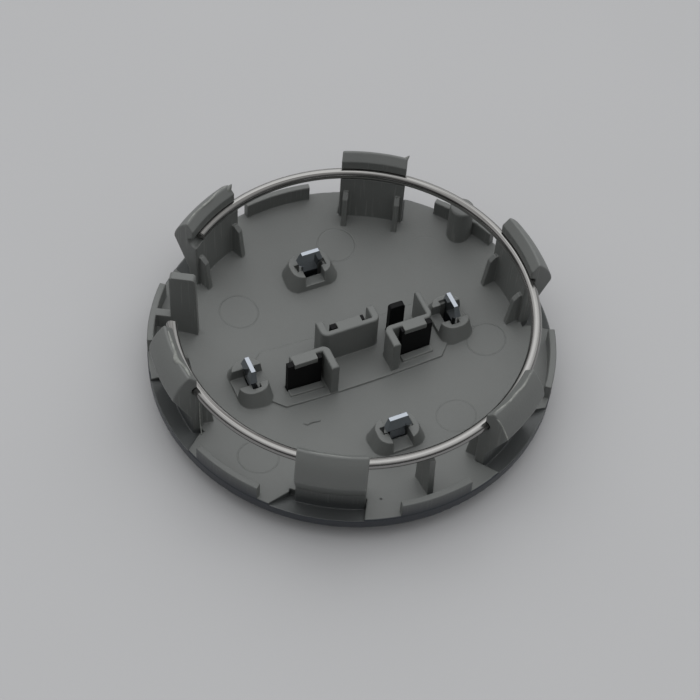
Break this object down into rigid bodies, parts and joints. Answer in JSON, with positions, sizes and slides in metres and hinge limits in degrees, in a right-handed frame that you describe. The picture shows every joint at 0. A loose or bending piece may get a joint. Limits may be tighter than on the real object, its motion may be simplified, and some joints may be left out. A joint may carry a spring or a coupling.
{
  "type": "wheel centre cap",
  "caption": "Round snap-in wheel centre cap seen from its hooked back: dished plastic shell, ring of barbed hooks, open spring wire ring, plain chrome bezel and black disc in front.",
  "frame": {"origin": "middle of the front, on the plane that the bezel's front face lies on", "axes": "+Z from the front to the hooks at the back, +X along the raised band on the back"},
  "size_m": [0.064, 0.064, 0.0181],
  "materials": {
    "grey_plastic": "moulded satin",
    "spring_steel": "drawn and polished",
    "chrome_plating": "mirror",
    "black_plastic": "smooth moulded"
  },
  "bodies": {
    "root": {"cap_body": "grey_plastic", "retaining_wire_ring": "spring_steel", "chrome_bezel": "chrome_plating", "black_centre_disc": "black_plastic"}
  },
  "joints": []
}
